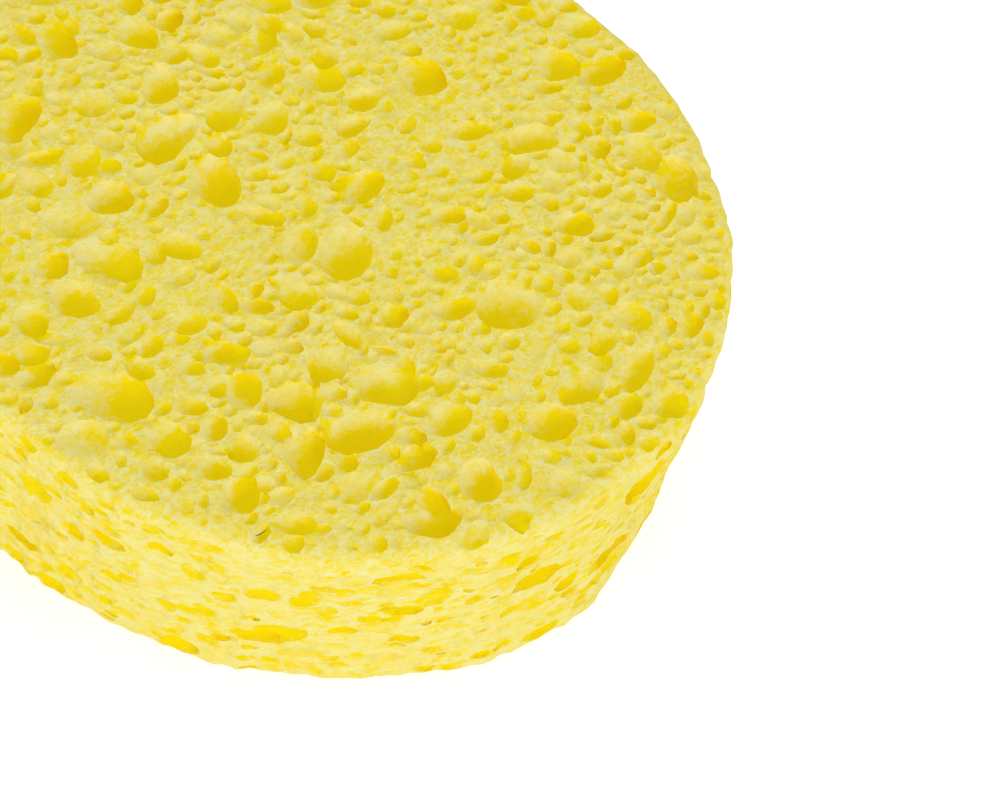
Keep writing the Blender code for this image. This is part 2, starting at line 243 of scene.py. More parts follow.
def outline_reach(angle, form):
    """The outline's distance from the middle at an angle: the far side of the lobe that the angle
    points at, with the waist softened and waves added, each of some turns a round."""
    half = lobe_half_spacing()
    soft = np.sqrt(np.cos(angle) ** 2 + form.waist_softness**2)
    reach = half * soft + np.sqrt((WIDTH / 2) ** 2 - (half * np.sin(angle)) ** 2)
    waves = sum(share * np.sin(turns * angle + start) for turns, share, start in OUTLINE_WAVES)
    return reach + form.outline_wave * (waves - OUTLINE_INSET)


def inside_outline(x, y, form):
    """How far points lie inside the outline along the ray from the middle, negative outside."""
    return outline_reach(np.arctan2(y, x), form) - np.hypot(x, y)


def face_wave(x, y, amount):
    """Slow rise and fall of a cut face: two pairs of crossed sine waves, from zero down to 1.6 times
    the amount."""
    ways = zip((x, y, x + y, x - y), FACE_WAVES)
    one, two, three, four = (np.sin(way / length + start) for way, (length, start) in ways)
    return amount * (0.5 * (one * two) + 0.3 * (three * four) - 0.8)


def wall_lumps(around, height):
    """Rise and fall of the wall: two crossed slow sine waves and two crossed fine ones."""
    one, two, three, four = (np.sin(turns * around + height / length) for turns, length in WALL_WAVES)
    return one * two + FINE_LUMPS * three * four - LUMPS_INSET


def disc_grid(across, along):
    """A square grid bent into the unit disc: each axis is shortened by the root of one less half the
    other's square, so that the square's edge becomes the circle."""
    u, v = np.meshgrid(np.linspace(-1, 1, across + 1), np.linspace(-1, 1, along + 1), indexing="ij")
    return u * np.sqrt(1 - v**2 / 2), v * np.sqrt(1 - u**2 / 2)


def grid_quads(rows, columns):
    """Corner numbers of a grid's quads, for rows by columns of points."""
    number = np.arange(rows * columns).reshape(rows, columns)
    corners = [number[:-1, :-1], number[1:, :-1], number[1:, 1:], number[:-1, 1:]]
    return np.stack(corners, axis=-1).reshape(-1, 4)


def grid_rim(rows, columns):
    """The grid's edge points in order, anticlockwise."""
    number = np.arange(rows * columns).reshape(rows, columns)
    return np.concatenate([number[:-1, 0], number[-1, :-1], number[:0:-1, -1], number[0, :0:-1]])


def wall_profile(form):
    """The rows of points down the wall: how far each lies in from the outline, and how deep below the
    upper face. Quarter circles go over the rims, with straight rows between them."""
    upper, lower = form.rim_radius, form.foot_radius
    bend = np.linspace(0, math.pi / 2, form.rim_rows + 1)
    back = bend[::-1]
    straight = np.linspace(upper, THICKNESS - lower, form.wall_rows + 1)[1:-1]
    inset = [upper * (1 - np.sin(bend)), np.zeros(len(straight)), lower * (1 - np.sin(back))]
    level = [upper * (1 - np.cos(bend)), straight, THICKNESS - lower * (1 - np.cos(back))]
    return np.concatenate(inset), np.concatenate(level)


def wall_points(around, form):
    """Points of the wall at some angles, row by row, with lumps where it isn't bent into a rim. The
    upper face's wave dies out downwards with the cube of the row's share of the height."""
    inset, level = wall_profile(form)
    on_wall = 1 - inset / max(form.rim_radius, form.foot_radius)
    height = HIGH[2] - level[:, None] + np.zeros((1, len(around)))
    outward = outline_reach(around, form) - inset[:, None]
    outward = outward + form.wall_wave * wall_lumps(around, height) * on_wall[:, None]
    x, y = outward * np.cos(around), outward * np.sin(around)
    height = height + face_wave(x, y, form.face_wave) * np.linspace(1, 0, len(level))[:, None] ** 3
    return np.stack([x, y, height], axis=-1)


def slab_surface(form):
    """The closed slab: two discs bent to the outline, a strip of fans round each that leads to a finer
    rim, and the wall between the rims."""
    rows, columns = form.face_rows + 1, form.face_columns + 1
    unit_x, unit_y = disc_grid(form.face_rows, form.face_columns)
    angle = np.arctan2(unit_y, unit_x).ravel()
    share = GRID_SHARE * np.minimum(np.hypot(unit_x, unit_y), 1.0).ravel()
    flat = share * (outline_reach(angle, form) - form.rim_radius)
    x, y = flat * np.cos(angle), flat * np.sin(angle)
    top = np.stack([x, y, HIGH[2] + face_wave(x, y, form.face_wave)], axis=1)
    low = np.stack([x, y, np.full(len(x), LOW[2])], axis=1)

    coarse, fans = grid_rim(rows, columns), form.rim_steps
    closed = np.unwrap(angle[coarse])
    closed = np.append(closed, closed[0] + 2 * math.pi)
    around = np.interp(np.arange(len(coarse) * fans) / fans, np.arange(len(closed)), closed)
    wall = wall_points(around, form)

    count = len(top)
    rings = 2 * count + np.arange(wall.shape[0] * len(around)).reshape(-1, len(around))
    after = np.roll(rings, -1, axis=1)
    sides = np.stack([rings[:-1], rings[1:], after[1:], after[:-1]], axis=-1).reshape(-1, 4)
    face = grid_quads(rows, columns)
    inner, onward = np.repeat(coarse, fans), np.roll(coarse, -1)
    strips = []
    for ring, shift, order in ((rings[0], 0, 1), (rings[-1], count, -1)):
        following = np.roll(ring, -1)
        fan = np.stack([inner + shift, ring, following], axis=1)
        between = np.stack([coarse + shift, following[fans - 1 :: fans], onward + shift], axis=1)
        strips += [fan[:, ::order], between[:, ::order]]
    points = np.concatenate([top, low, wall.reshape(-1, 3)])
    return points, np.concatenate([face, face[:, ::-1] + count, sides]), np.concatenate(strips)


# Bubbles


def bubble_shells(bubbles, sides, rings, rough, draw):
    """Closed shells of many bubbles at once. Each is an ellipsoid given by latitude and longitude, its
    radius swollen and dented by three slow waves of its own. It is turned about the upright, and then
    leans over: each level shifts sideways by the lean times its height above the bubble's pivot."""
    latitude = np.linspace(-math.pi / 2, math.pi / 2, rings + 1)[1:-1]
    longitude = np.linspace(0, 2 * math.pi, sides, endpoint=False)
    up, round_ = np.meshgrid(latitude, longitude, indexing="ij")
    ball = [np.cos(up) * np.cos(round_), np.cos(up) * np.sin(round_), np.sin(up)]
    ball = np.vstack([[0, 0, -1], np.stack(ball, axis=-1).reshape(-1, 3), [0, 0, 1]])
    count = len(bubbles["centre"])
    waves = draw.normal(0, SWELL_WAVES, (count, 3, 3))
    start = draw.uniform(0, 2 * math.pi, (count, 3))
    swell = 1 + rough * np.sin(np.einsum("nkj,vj->nvk", waves, ball) + start[:, None, :]).mean(axis=-1)
    local = ball[None] * swell[..., None] * bubbles["half"][:, None, :]
    turn_c, turn_s = np.cos(bubbles["turn"])[:, None], np.sin(bubbles["turn"])[:, None]
    x = local[..., 0] * turn_c - local[..., 1] * turn_s
    y = local[..., 0] * turn_s + local[..., 1] * turn_c
    points = np.stack([x, y, local[..., 2]], axis=-1) + bubbles["centre"][:, None, :]
    risen = points[..., 2] - bubbles["pivot"][:, None]
    points[..., :2] += bubbles["lean"][:, None, :] * risen[..., None]

    here, after = np.arange(sides), (np.arange(sides) + 1) % sides
    last = 1 + (rings - 2) * sides
    end = last + sides
    bottom = np.stack([np.zeros(sides, int), 1 + after, 1 + here], axis=1)
    top = np.stack([np.full(sides, end), last + here, last + after], axis=1)
    caps = np.concatenate([bottom, top])
    base = 1 + sides * np.arange(rings - 2)[:, None]
    bands = [base + here, base + after, base + sides + after, base + sides + here]
    bands = np.stack(bands, axis=-1).reshape(-1, 4)
    shift = np.arange(count)[:, None, None] * len(ball)
    return points.reshape(-1, 3), (caps[None] + shift).reshape(-1, 3), (bands[None] + shift).reshape(-1, 4)


def reach_towards(length, width, turn, direction):
    """An ellipse's radius in a direction, from its full length, width and turn."""
    lengthwise = np.cos(direction - turn) / (length / 2)
    crosswise = np.sin(direction - turn) / (width / 2)
    return 1 / np.sqrt(lengthwise**2 + crosswise**2)


def scatter(draw, taken, most, span, fits, lengths, roundness, lean, lean_spread, closeness):
    """Adds up to some number of ovals to those taken: places and sizes are drawn in one order, and one is
    kept if its distance to each neighbour is at least closeness times their two radii towards each other."""
    tries = TRIES_PER_PORE * (most + SPARE_PORES)
    places = draw.uniform(-1, 1, (tries, 2)) * span
    length = lengths[0] + (lengths[1] - lengths[0]) * draw.uniform(0, 1, tries) ** SHORT_FAVOUR
    width = length * draw.uniform(*roundness, tries)
    turn = np.radians(lean + draw.normal(0, lean_spread, tries))
    depth = draw.uniform(*DEPTH_SHARES, tries)
    count = len(taken)
    kept = np.zeros((count + most, 6))
    kept[:count] = taken
    for i in np.flatnonzero(fits(places)):
        if count == len(kept):
            break
        x, y = places[i]
        step_x, step_y = kept[:count, 0] - x, kept[:count, 1] - y
        far = np.hypot(step_x, step_y)
        near = far < (kept[:count, 2] + length[i]) / 2
        if near.any():
            others = kept[:count][near]
            direction = np.arctan2(step_y[near], step_x[near])
            room = reach_towards(others[:, 2], others[:, 3], others[:, 4], direction)
            room += reach_towards(length[i], width[i], turn[i], direction)
            if (far[near] < closeness * room).any():
                continue
        kept[count] = x, y, length[i], width[i], turn[i], depth[i]
        count += 1
    return kept[:count]


def placed_pores(table):
    """A table's pores in metres and radians from the slab's middle, as wide as their rims."""
    rows = np.array([(*row, *USUAL_TURN_AND_DEPTH[len(row) - 4 :]) for row in table])
    rows[:, :4] *= MM
    rows[:, 2:4] *= RIM_GROWTH
    rows[:, 0] += lobe_half_spacing()
    rows[:, 4] = np.radians(rows[:, 4])
    return rows


def face_pores(form, pores, seed, first, counts):
    """Ovals of one flat face, those given first, then random ones from large to small. Returns them
    with the number at which each class ends."""
    draw = np.random.RandomState(seed)
    span = np.array([LENGTH, WIDTH]) / 2

    def fits(places):
        return inside_outline(places[:, 0], places[:, 1], form) > pores.edge_gap

    taken, ends = first, [len(first)]
    manner = FACE_ROUNDNESS, pores.lean, pores.lean_spread
    for lengths, most in zip((pores.large_range, pores.medium_range, pores.small_range), counts):
        taken = scatter(draw, taken, most, span, fits, lengths, *manner, pores.closeness)
        ends.append(len(taken))
    return taken, ends


def outline_walk(form, count=1440):
    """Points, distance walked and heading along the outline, anticlockwise from +X."""
    angle = np.linspace(0, 2 * math.pi, count + 1)
    reach = outline_reach(angle, form)
    x, y = reach * np.cos(angle), reach * np.sin(angle)
    walked = np.concatenate([[0], np.cumsum(np.hypot(np.diff(x), np.diff(y)))])
    heading = np.unwrap(np.arctan2(np.gradient(y), np.gradient(x)))
    return x, y, walked, heading


def wall_slits(form, pores, seed, counts):
    """Ovals of the side wall, unrolled flat: distance along the wall and height from its middle. Large
    ones keep further from the faces than small ones."""
    draw = np.random.RandomState(seed)
    span = np.array([outline_walk(form)[2][-1], THICKNESS]) / 2
    taken, ends = np.zeros((0, 6)), []
    manner = SLIT_ROUNDNESS, 0.0, SLIT_SPREAD
    for lengths, most in zip((pores.slit_large, pores.slit_medium, pores.slit_small), counts):
        highest = THICKNESS / 2 - pores.wall_gap - lengths[0] / 4

        def fits(places):
            return np.abs(places[:, 1]) < highest

        taken = scatter(draw, taken, most, span, fits, lengths, *manner, pores.closeness)
        ends.append(len(taken))
    return taken, ends


def bubble_sinking(ovals, pores):
    """How far each bubble's middle lies under the cut, as a share of its height, and how much wider the
    bubble is than its oval."""
    sunk = np.interp(ovals[:, 5], DEPTH_SHARES, pores.sunk_range)
    return sunk, 1 / np.sqrt(1 - sunk**2)


def depth_shade_tone(deepest, shares):
    """How strong a bubble's painted shade is at its bottom: the deeper the bubble, the more, and a shallow
    dish stays pale.
    """
    return np.interp(deepest / MM, *SHADE_TONE_BY_DEPTH) * np.interp(shares, *SHADE_TONE_BY_SHARE)


def place_on_face(ovals, height, outward, pores):
    """Bubbles of a face's ovals: a deep one's middle lies under the face and a shallow one's above it.
    They lean about the face, so that the oval stays where it is and the bottom lies to one side."""
    radius = np.sqrt(ovals[:, 2] * ovals[:, 3]) / 2
    upright = pores.flatness * radius
    sunk, widen = bubble_sinking(ovals, pores)
    draw = np.random.RandomState(len(ovals))
    away = np.radians(pores.slant_turn) + draw.normal(0, SLANT_SPREAD, len(ovals))
    slant = pores.slant * draw.uniform(*SLANT_SHARES, len(ovals)) * outward
    sideways = np.stack([np.cos(away), np.sin(away)], axis=1)
    deepest = upright * widen * (1 + sunk)
    middle = height - outward * sunk * upright * widen
    return {
        "centre": np.stack([ovals[:, 0], ovals[:, 1], middle], axis=1),
        "half": np.stack([ovals[:, 2] / 2 * widen, ovals[:, 3] / 2 * widen, upright * widen], axis=1),
        "turn": ovals[:, 4],
        "lean": -sideways * slant[:, None],
        "pivot": np.full(len(ovals), height),
        # Painted shade: the rim's shadow is painted towards this side, the one the bubble leans to, and the
        # tone is the painted shade's strength at the bottom.
        "shadow_side": sideways / radius[:, None],
        "rim_painted_shade": np.full(len(ovals), FACE_RIM_PAINTED_SHADE),
        "deepest": deepest,
        "shade_tone": depth_shade_tone(deepest, ovals[:, 5]),
    }


def place_on_wall(ovals, form, pores):
    """Bubbles of the wall's ovals: as long and as low as the oval, and as deep as the slit depth says."""
    x, y, walked, heading = outline_walk(form)
    place = ovals[:, 0] + walked[-1] / 2
    facing = np.interp(place, walked, heading)
    deep = ovals[:, 2] / 2 * pores.slit_depth
    sunk, widen = bubble_sinking(ovals, pores)
    inward = np.stack([-np.sin(facing), np.cos(facing)], axis=1)
    spot = np.stack([np.interp(place, walked, x), np.interp(place, walked, y)], axis=1)
    spot = spot + inward * (sunk * deep * widen)[:, None]
    height = THICKNESS / 2 + LOW[2] + ovals[:, 1]
    deepest = deep * widen * (1 + sunk)
    return {
        "centre": np.concatenate([spot, height[:, None]], axis=1),
        "half": np.stack([ovals[:, 2] / 2 * widen, deep * widen, ovals[:, 3] / 2 * widen], axis=1),
        "turn": facing,
        "lean": np.zeros((len(ovals), 2)),
        "pivot": height,
        # Painted shade: the slits get no painted shadow to a side, and their rim share paints them deep
        # yellow all over.
        "shadow_side": np.zeros((len(ovals), 2)),
        "rim_painted_shade": np.full(len(ovals), WALL_RIM_PAINTED_SHADE),
        "deepest": deepest,
        "shade_tone": depth_shade_tone(deepest, ovals[:, 5]),
    }


def all_bubbles(form, pores):
    """The bubbles of both faces and the wall, in sets of one kind, and each set's sides and rings."""
    sets, shapes = [], []
    first = np.concatenate([placed_pores(MAIN_PORES), placed_pores(MEDIUM_PORES)])
    upper = face_pores(form, pores, UPPER_SEED, first, pores.upper_counts)
    under = face_pores(form, pores, UNDER_SEED, np.zeros((0, 6)), pores.under_counts)
    for (ovals, ends), height, outward in ((upper, HIGH[2], 1), (under, LOW[2], -1)):
        for part in np.split(ovals, ends[:-1]):
            size = np.digitize(np.sqrt(part[:, 2] * part[:, 3]) / MM, FACE_PORE_SIZES)
            for step, shape in enumerate(FACE_PORE_SHAPES):
                if (size == step).any():
                    sets.append(place_on_face(part[size == step], height, outward, pores))
                    shapes.append(shape)
    ovals, ends = wall_slits(form, pores, WALL_SEED, pores.slit_counts)
    for part, shape in zip(np.split(ovals, ends[:-1]), SLIT_SHAPES):
        sets.append(place_on_wall(part, form, pores))
        shapes.append(shape)
    return sets, shapes


def apart(centre, half, lean):
    """Sorts bubbles into groups whose members can't touch: each takes the first group that none of the
    earlier bubbles near it is in."""
    reach = half[:, :2].max(axis=1) * SIDE_ROOM + np.hypot(*lean.T) * half[:, 2]
    tall = half[:, 2] * HEIGHT_ROOM
    group = np.full(len(centre), -1)
    for i in range(len(centre)):
        far = np.hypot(*(centre[:i, :2] - centre[i, :2]).T)
        rise = np.abs(centre[:i, 2] - centre[i, 2])
        near = (far < reach[:i] + reach[i]) & (rise < tall[:i] + tall[i])
        used = np.unique(group[:i][near])
        group[i] = np.setdiff1d(np.arange(len(used) + 1), used)[0]
    return group


# Meshes


def mesh_from(name, points, *face_sets):
    """A mesh from whole arrays: points, and sets of faces with one number of corners each."""
    corners = np.concatenate([faces.ravel() for faces in face_sets]).astype(np.int32)
    sizes = np.concatenate([np.full(len(faces), faces.shape[1]) for faces in face_sets])
    starts = np.concatenate([[0], np.cumsum(sizes)[:-1]]).astype(np.int32)
    mesh = bpy.data.meshes.new(name)
    mesh.vertices.add(len(points))
    mesh.vertices.foreach_set("co", points.astype(np.float32).ravel())
    mesh.loops.add(len(corners))
    mesh.loops.foreach_set("vertex_index", corners)
    mesh.polygons.add(len(starts))
    mesh.polygons.foreach_set("loop_start", starts)
    mesh.update(calc_edges=True)
    mesh.validate()
    return mesh


def points_of(mesh):
    co = np.empty(len(mesh.vertices) * 3, np.float32)
    mesh.vertices.foreach_get("co", co)
    return co.reshape(-1, 3)


def add_object(name, mesh, group=None):
    made = bpy.data.objects.new(name, mesh)
    (group or bpy.context.scene.collection).objects.link(made)
    return made


def number_faces(mesh, numbers):
    """Stores each face's bubble number: 0 for the cut skin."""
    stored = mesh.attributes.new("bubble", "INT", "FACE")
    stored.data.foreach_set("value", np.ascontiguousarray(numbers, np.int32))


def corner_numbers(mesh):
    """The bubble number of each face's corners."""
    number = np.empty(len(mesh.polygons), np.int32)
    mesh.attributes["bubble"].data.foreach_get("value", number)
    sizes = np.empty(len(mesh.polygons), np.int32)
    mesh.polygons.foreach_get("loop_total", sizes)
    return np.repeat(number, sizes)


def cut_bubbles(slab, sets, shapes, rough):
    """Cuts sets of bubbles out of the slab, each set with its sides and rings. Bubbles that touch go
    to different cutters, because a cutter may not cross itself."""
    draw = np.random.RandomState(SWELL_SEED)
    group = apart(*(np.concatenate([s[key] for s in sets]) for key in ("centre", "half", "lean")))
    ends = np.cumsum([0] + [len(s["turn"]) for s in sets])
    cutters = bpy.data.collections.new("bubble_cutters")
    bpy.context.scene.collection.children.link(cutters)
    for which in range(group.max() + 1):
        points, triangles, quads, numbers, count = [], [], [], [], 0
        for one, shape, start, end in zip(sets, shapes, ends[:-1], ends[1:]):
            pick = group[start:end] == which
            if not pick.any():
                continue
            picked = {key: values[pick] for key, values in one.items()}
            shell = bubble_shells(picked, *shape, rough, draw)
            points.append(shell[0])
            triangles.append(shell[1] + count)
            quads.append(shell[2] + count)
            count += len(shell[0])
            number = 1 + start + np.flatnonzero(pick)
            numbers.append([np.repeat(number, len(part) // len(number)) for part in shell[1:]])
        mesh = mesh_from("bubbles", *(np.concatenate(part) for part in (points, triangles, quads)))
        number_faces(mesh, np.concatenate([part for kind in zip(*numbers) for part in kind]))
        add_object(f"bubbles_{which}", mesh, cutters)
    cut = slab.modifiers.new("pores", "BOOLEAN")
    cut.operation = "DIFFERENCE"
    cut.operand_type = "COLLECTION"
    cut.collection = cutters
    cut.solver = "MANIFOLD"
    bpy.context.view_layer.update()
    done = bpy.data.meshes.new_from_object(slab.evaluated_get(bpy.context.evaluated_depsgraph_get()))
    slab.modifiers.clear()
    for cutter in list(cutters.objects):
        bpy.data.objects.remove(cutter, do_unlink=True)
    bpy.data.collections.remove(cutters)
    return done


def write_painted_shade(mesh, sets, form):
    """Stores the painted shade of each point, in deep yellow: 0 on the skin, and in a bubble its tone times
    a soft step of three shares added up: the depth's in the bubble's own, which paints the shade deep in
    the hollow, how far the point lies to the side that the bubble leans to, which paints the rim's shadow
    there, and the rim's."""
    x, y, z = points_of(mesh).T.astype(float)
    depth = np.minimum(np.minimum(HIGH[2] - z, z - LOW[2]), inside_outline(x, y, form))
    corner = np.empty(len(mesh.loops), np.int32)
    mesh.loops.foreach_get("vertex_index", corner)
    bubble = np.zeros(len(x), int)
    np.maximum.at(bubble, corner, corner_numbers(mesh))

    def own(key, of_skin):
        return np.concatenate([[of_skin], *(s[key] for s in sets)])[bubble]

    centre, shadow_side = own("centre", (0.0, 0.0, 0.0)), own("shadow_side", (0.0, 0.0))
    # Painted shadow of the rim: the side that the bubble leans to, under its overhang, turns deep yellow.
    shadow_share = (x - centre[:, 0]) * shadow_side[:, 0] + (y - centre[:, 1]) * shadow_side[:, 1]
    share = DEPTH_PAINTED_SHADE * depth / own("deepest", 1.0) + SIDE_PAINTED_SHADOW * shadow_share + own("rim_painted_shade", 0.0)
    share = np.clip(share, 0, 1)
    painted_shade = own("shade_tone", 0.0) * share * share * (3 - 2 * share)
    stored = mesh.attributes.new("painted_shade", "FLOAT", "POINT")
    stored.data.foreach_set("value", painted_shade.astype(np.float32))


def bend_foot(mesh, form):
    """Bends the wall's foot out, six times a round and once more in one place: the shift grows with the
    square of the depth below the upper face and the fourth power of the way out to the outline."""
    points = points_of(mesh)
    angle = np.arctan2(points[:, 1], points[:, 0])
    way_out = np.hypot(points[:, 0], points[:, 1]) / outline_reach(angle, form)
    down = np.clip((HIGH[2] - points[:, 2]) / THICKNESS, 0, 1)
    bulge = np.exp(-(((angle - form.bulge_place) / form.bulge_spread) ** 2))
    shift = form.foot_wave * np.maximum(-np.cos(FOOT_BENDS * angle), 0) + form.foot_bulge * bulge
    shift *= down**2 * way_out**4
    points[:, 0] += shift * np.cos(angle)
    points[:, 1] += shift * np.sin(angle)
    mesh.vertices.foreach_set("co", points.ravel())
    mesh.update()


# Materials

# The small cells' squeeze along their grain, across it and upwards, and that of the wall's layers
GRAIN_SQUEEZE = (0.75, 1.0, 1.35)
LAYER_SQUEEZE = (0.4, 0.4, 0.9)

# Features to a metre of the noises, and how far one of them bends the cells in metres
BEND_SCALE = 1300.0
LAYER_SCALE = 800.0
MOTTLE_SCALE = 750.0
STRAND_SCALE = 650.0
HAIR_SCALE = 3000.0
CELL_BEND = 0.0009

# Smallest and largest cell as a share of their spacing, and the width of a cell's soft edge
CELL_RADII = (0.3, 0.75)
CELL_EDGE = 0.14
STRAND_WIDTH = 0.03

# How strong the fine cells are beside the coarse ones, and how much fainter all of them are on the wall
FINE_STRENGTH = 0.75
WALL_FADING = 0.45

# Strands on the linings, and the layers' noise from where to where it makes the wall golden or pale
LINING_STRANDS = 0.15
GOLDEN_LAYERS = (0.56, 0.63)
PALE_LAYERS = (0.48, 0.36)
PALE_LAYER_STRENGTH = 0.5

HAIR_COLOURS = ((0.05, 0.035, 0.02, 1.0), (0.22, 0.17, 0.05, 1.0))


def new_group(name, inputs, outputs):
    """An empty shader group with float or other inputs, each with its default, and named outputs."""
    group = bpy.data.node_groups.new(name, "ShaderNodeTree")
    for label, kind, default in inputs:
        socket = group.interface.new_socket(name=label, in_out="INPUT", socket_type=kind)
        if default is not None:
            socket.default_value = default
    for label, kind in outputs:
        group.interface.new_socket(name=label, in_out="OUTPUT", socket_type=kind)
    return group, group.nodes.new("NodeGroupInput"), group.nodes.new("NodeGroupOutput")


def new_material(name):
    """A material with its tree and its shader."""
    material = bpy.data.materials.new(name)
    material.use_nodes = True
    return material, material.node_tree, material.node_tree.nodes["Principled BSDF"]


def node(tree, kind, links=(), **settings):
    """A node with its settings, and links given as (its input, value or output socket)."""
    made = tree.nodes.new("ShaderNode" + kind)
    for name, value in settings.items():
        setattr(made, name, value)
    for socket, value in links:
        if isinstance(value, bpy.types.NodeSocket):
            tree.links.new(value, made.inputs[socket])
        else:
            made.inputs[socket].default_value = value
    return made


def math_node(tree, operation, *values, clamp=False):
    return node(tree, "Math", enumerate(values), operation=operation, use_clamp=clamp).outputs[0]


def vector_math(tree, operation, first, second):
    return node(tree, "VectorMath", [(0, first), (1, second)], operation=operation).outputs[0]


def noise(tree, place, scale, detail=2.0, roughness=0.5):
    links = [("Vector", place), ("Scale", scale), ("Detail", detail), ("Roughness", roughness)]
    return node(tree, "TexNoise", links)


def map_range(tree, value, low, high):
    """0 where the value is low and 1 where it is high, and even in between."""
    links = [("Value", value), ("From Min", low), ("From Max", high)]
    return node(tree, "MapRange", links).outputs["Result"]


def mix_value(tree, factor, first, second):
    return node(tree, "Mix", [(0, factor), (2, first), (3, second)], data_type="FLOAT").outputs[0]


def mix_colour(tree, factor, first, second):
    return node(tree, "Mix", [(0, factor), (6, first), (7, second)], data_type="RGBA").outputs[2]


def attribute(tree, name):
    return node(tree, "Attribute", attribute_name=name).outputs["Fac"]


def open_cells_group():
    """Small round cells with thin walls between them. Open is 1 inside a cell and 0 on the walls. Each
    cell has a radius of its own, between the smallest and largest share of their spacing."""
    group, given, put = new_group(
        "Open cells",
        [
            ("Vector", "NodeSocketVector", None),
            ("Cells per metre", "NodeSocketFloat", 900.0),
            ("Smallest", "NodeSocketFloat", CELL_RADII[0]),
            ("Largest", "NodeSocketFloat", CELL_RADII[1]),
        ],
        [("Open", "NodeSocketFloat")],
    )
    place, scale, smallest, largest = list(given.outputs)[:4]
    cells = node(group, "TexVoronoi", [("Vector", place), ("Scale", scale)], feature="F1")
    chance = node(group, "SeparateColor", [("Color", cells.outputs["Color"])]).outputs["Red"]
    links = [("Value", chance), ("To Min", smallest), ("To Max", largest)]
    radius = node(group, "MapRange", links).outputs["Result"]
    inner = math_node(group, "SUBTRACT", radius, cells.outputs["Distance"])
    group.links.new(map_range(group, inner, 0.0, CELL_EDGE), put.inputs["Open"])
    return group


def strands_group():
    """Pale strands: the lines along which a noise passes its middle value. Mask is 1 on a strand."""
    group, given, put = new_group(
        "Strands",
        [
            ("Vector", "NodeSocketVector", None),
            ("Fineness", "NodeSocketFloat", STRAND_SCALE),
            ("Width", "NodeSocketFloat", STRAND_WIDTH),
        ],
        [("Mask", "NodeSocketFloat")],
    )
    level = noise(group, given.outputs["Vector"], given.outputs["Fineness"], 1.0).outputs["Fac"]
    off = math_node(group, "ABSOLUTE", math_node(group, "SUBTRACT", level, 0.5))
    group.links.new(map_range(group, off, given.outputs["Width"], 0.0), put.inputs["Mask"])
    return group


def use_group(tree, group, **inputs):
    links = [(name.replace("_", " "), value) for name, value in inputs.items()]
    return node(tree, "Group", links, node_tree=group).outputs[0]


def cell_web(tree, bent, finish):
    """The small cells of two sizes, 1 inside them and 0 on the web between."""
    cells = open_cells_group()
    coarse = use_group(tree, cells, Vector=bent, Cells_per_metre=finish.coarse_cells)
    fine = use_group(tree, cells, Vector=bent, Cells_per_metre=finish.fine_cells)
    return math_node(tree, "MAXIMUM", coarse, math_node(tree, "MULTIPLY", fine, FINE_STRENGTH))


def wall_layers(tree, bent, upright, finish):
    """Golden and pale flat streaks, positive and negative, where the surface stands upright."""
    drawn = vector_math(tree, "MULTIPLY", bent, LAYER_SQUEEZE)
    level = noise(tree, drawn, LAYER_SCALE).outputs["Fac"]
    pale = math_node(tree, "MULTIPLY", map_range(tree, level, *PALE_LAYERS), PALE_LAYER_STRENGTH)
    both = math_node(tree, "SUBTRACT", map_range(tree, level, *GOLDEN_LAYERS), pale)
    return math_node(tree, "MULTIPLY", both, math_node(tree, "MULTIPLY", upright, finish.layering))


